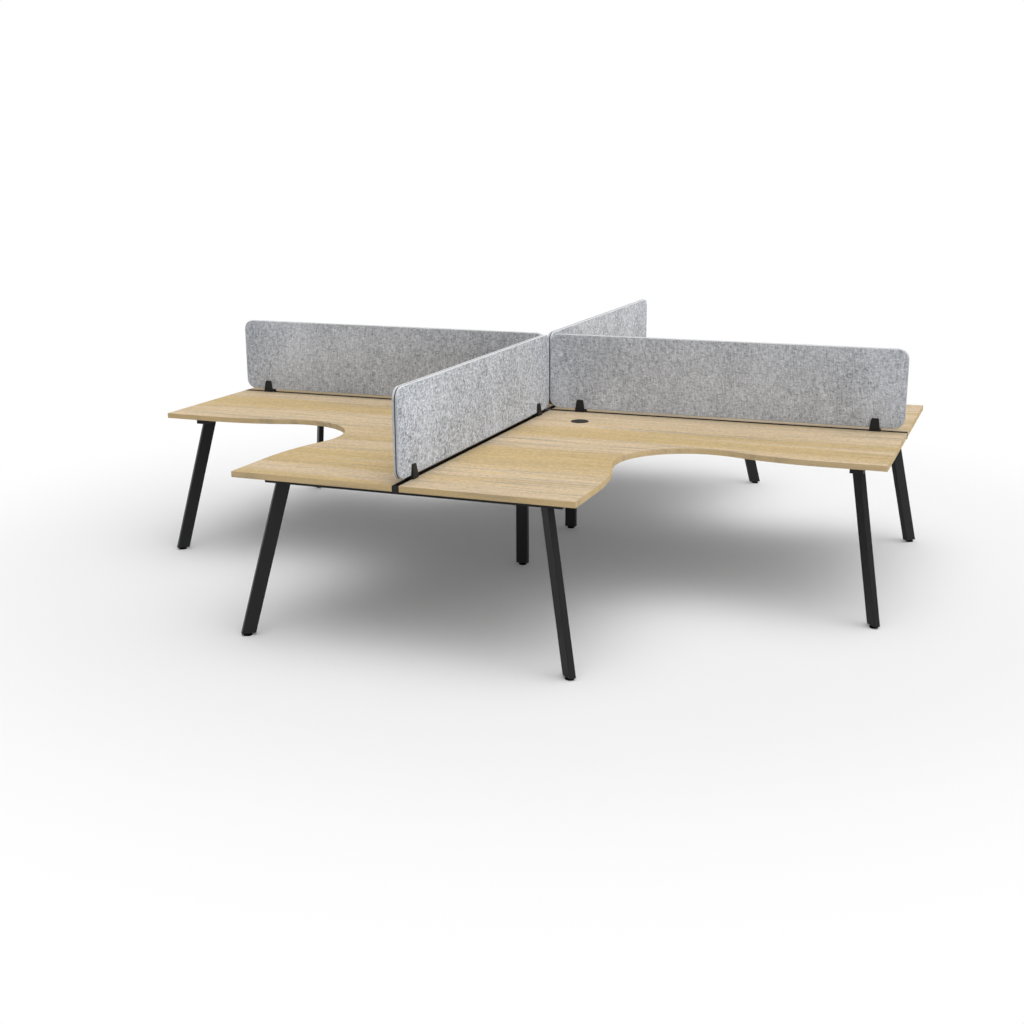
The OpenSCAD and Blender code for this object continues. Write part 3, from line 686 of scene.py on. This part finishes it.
for arm, (turns, left_hand, right_hand) in ARMS.items():
    for side, layer in ((1, left_hand), (-1, right_hand)):
        grid, uv, masks = felt_layer(turns, side)
        mesh = mesh_from_grid("felt", grid, uv, False, masks)
        add_piece("felt_" + arm + "_" + layer, mesh, felt, f"screen_{arm}_felt_{layer}")

for quarter, (side_x, side_y) in QUARTERS.items():
    grid, uv = edge_band(side_x, side_y)
    mesh = mesh_from_grid("edge_band", grid, uv, True, {})
    add_piece("edge_band_" + quarter, mesh, oak_band, "edge_bands")

for name, width in (("clamp_jaws", JAW_ROUND), ("clamp_bases", BASE_ROUND)):
    add_piece(name + "_rounded", rounded_copy(name, width), clamp_plastic, name)

# Floor

FLOOR_R = 60.0
FLOOR_RINGS = 24
FLOOR_STEP_DEGREES = 5
# The floor fades into the white backdrop between these distances from the middle
FADE_START, FADE_END = 2.4, 4.0

WHITE = (1, 1, 1, 1)


def floor_material():
    """Pale matt floor. Where it is seen it fades into the white backdrop with distance."""
    material, w = new_material("pale floor")
    place = w.object_place()
    distance = w.put("ShaderNodeVectorMath", {0: place}, operation="LENGTH").outputs["Value"]
    colour = w.blend(w.maths("MULTIPLY", w.noise(place, 1.7), 0.4), grey(0.93), grey(0.92))
    matt = w.put("ShaderNodeBsdfDiffuse", {"Color": colour})
    white = w.put("ShaderNodeEmission", {"Color": WHITE, "Strength": 1.0})
    fade = w.put("ShaderNodeMapRange", {"Value": distance, "From Min": FADE_START, "From Max": FADE_END},
                 interpolation_type="SMOOTHSTEP").outputs[0]
    share = w.maths("MULTIPLY", fade, w.seen())
    mixed = w.put("ShaderNodeMixShader", {0: share, 1: matt.outputs[0], 2: white.outputs[0]})
    w.put("ShaderNodeOutputMaterial", {"Surface": mixed.outputs[0]})
    return material


def floor_mesh():
    """A level disc of rings whose radii grow by a constant factor from 1 m."""
    rings = np.concatenate([[0.0], np.geomspace(1.0, FLOOR_R, FLOOR_RINGS)])[:, None]
    around = np.radians(np.arange(0, 360, FLOOR_STEP_DEGREES))
    x, y = rings * np.cos(around), rings * np.sin(around)
    grid = np.stack([x, y, np.zeros_like(x)], -1)
    uv = np.concatenate([grid[..., :2], grid[:, :1, :2]], 1)
    return mesh_from_grid("floor", grid, uv, False, {})


floor = bpy.data.objects.new("floor", floor_mesh())
bpy.context.scene.collection.objects.link(floor)
floor.data.materials.append(floor_material())

# Light

# Weights of the light's level: plain, by (x, y, z), (xx, yy, zz), (xy, yz, zx), zz (x, y, z), z^4 and z^8
LIGHT_PLAIN = 1.178
LIGHT_LEAN = (0.507, 0.499, -2.018)
LIGHT_SQUARES = (0.091, -0.071, 1.158)
LIGHT_PRODUCTS = (-0.466, 0.271, -1.853)
LIGHT_STEEP_LEAN = (3.202, -2.164, 0.0)
LIGHT_STEEP = 1.001
LIGHT_STEEPEST = 1.289
LIGHT_LEAST = 0.04


def studio_level(w, direction):
    """Light from each direction: broad and soft overhead, dim at the walls, a low glow behind and right.

    Level = plain + lean.d + squares.(xx, yy, zz) + products.(xy, yz, zx) + zz (steep lean.d)
    + z^4 (steep + steepest z^4), scaled so that a level face is lit by 1.
    """
    x, y, z = w.parts(direction)
    squares = w.vector_maths("MULTIPLY", direction, direction)
    products = w.vector_maths("MULTIPLY", direction, w.vector(y, z, x))
    z2 = w.maths("MULTIPLY", z, z)
    z4 = w.maths("MULTIPLY", z2, z2)
    level = w.maths("ADD", LIGHT_PLAIN, w.dot(direction, LIGHT_LEAN))
    level = w.maths("ADD", level, w.dot(squares, LIGHT_SQUARES))
    level = w.maths("ADD", level, w.dot(products, LIGHT_PRODUCTS))
    level = w.maths("MULTIPLY_ADD", z2, w.dot(direction, LIGHT_STEEP_LEAN), level)
    level = w.maths("MULTIPLY_ADD", z4, w.maths("MULTIPLY_ADD", z4, LIGHT_STEEPEST, LIGHT_STEEP), level)
    return w.maths("MAXIMUM", level, LIGHT_LEAST)


def studio_world():
    """A world that lights by the studio's level and is plain white where it is seen."""
    world = bpy.data.worlds.new("studio")
    world.use_nodes = True
    world.node_tree.nodes.clear()
    w = Wiring(world.node_tree)
    direction = w.put("ShaderNodeTexCoord").outputs["Generated"]
    light = w.put("ShaderNodeBackground", {"Color": WHITE, "Strength": studio_level(w, direction)})
    backdrop = w.put("ShaderNodeBackground", {"Color": WHITE, "Strength": 1.0})
    sky = w.put("ShaderNodeMixShader", {0: w.seen(), 1: light.outputs[0], 2: backdrop.outputs[0]})
    w.put("ShaderNodeOutputWorld", {"Surface": sky.outputs[0]})
    return world


bpy.context.scene.world = studio_world()
bpy.context.scene.view_settings.view_transform = "Standard"

# Camera, in metres, radians and millimetres of lens

CAMERA_PLACE = (2.42620, -6.71047, 2.04564)
CAMERA_YAW, CAMERA_PITCH, CAMERA_ROLL = -0.373663, -0.2554815, -0.005309
CAMERA_LENS = 48.797
CAMERA_SENSOR = 36.0


def camera_axes(yaw, pitch, roll):
    """Right, up and backward directions of a camera turned from +Y to +X by yaw, raised and then rolled."""
    forward = np.array([math.sin(yaw) * math.cos(pitch), math.cos(yaw) * math.cos(pitch), math.sin(pitch)])
    right = np.array([math.cos(yaw), -math.sin(yaw), 0.0])
    up = np.cross(right, forward)
    c, s = math.cos(roll), math.sin(roll)
    return np.stack([c * right + s * up, c * up - s * right, -forward], -1)


lens = bpy.data.cameras.new("view")
lens.lens = CAMERA_LENS
lens.sensor_width = CAMERA_SENSOR
lens.sensor_fit = "HORIZONTAL"
camera = bpy.data.objects.new("view", lens)
bpy.context.scene.collection.objects.link(camera)
turned = Matrix(camera_axes(CAMERA_YAW, CAMERA_PITCH, CAMERA_ROLL).tolist()).to_4x4()
camera.matrix_world = Matrix.Translation(CAMERA_PLACE) @ turned
bpy.context.scene.camera = camera
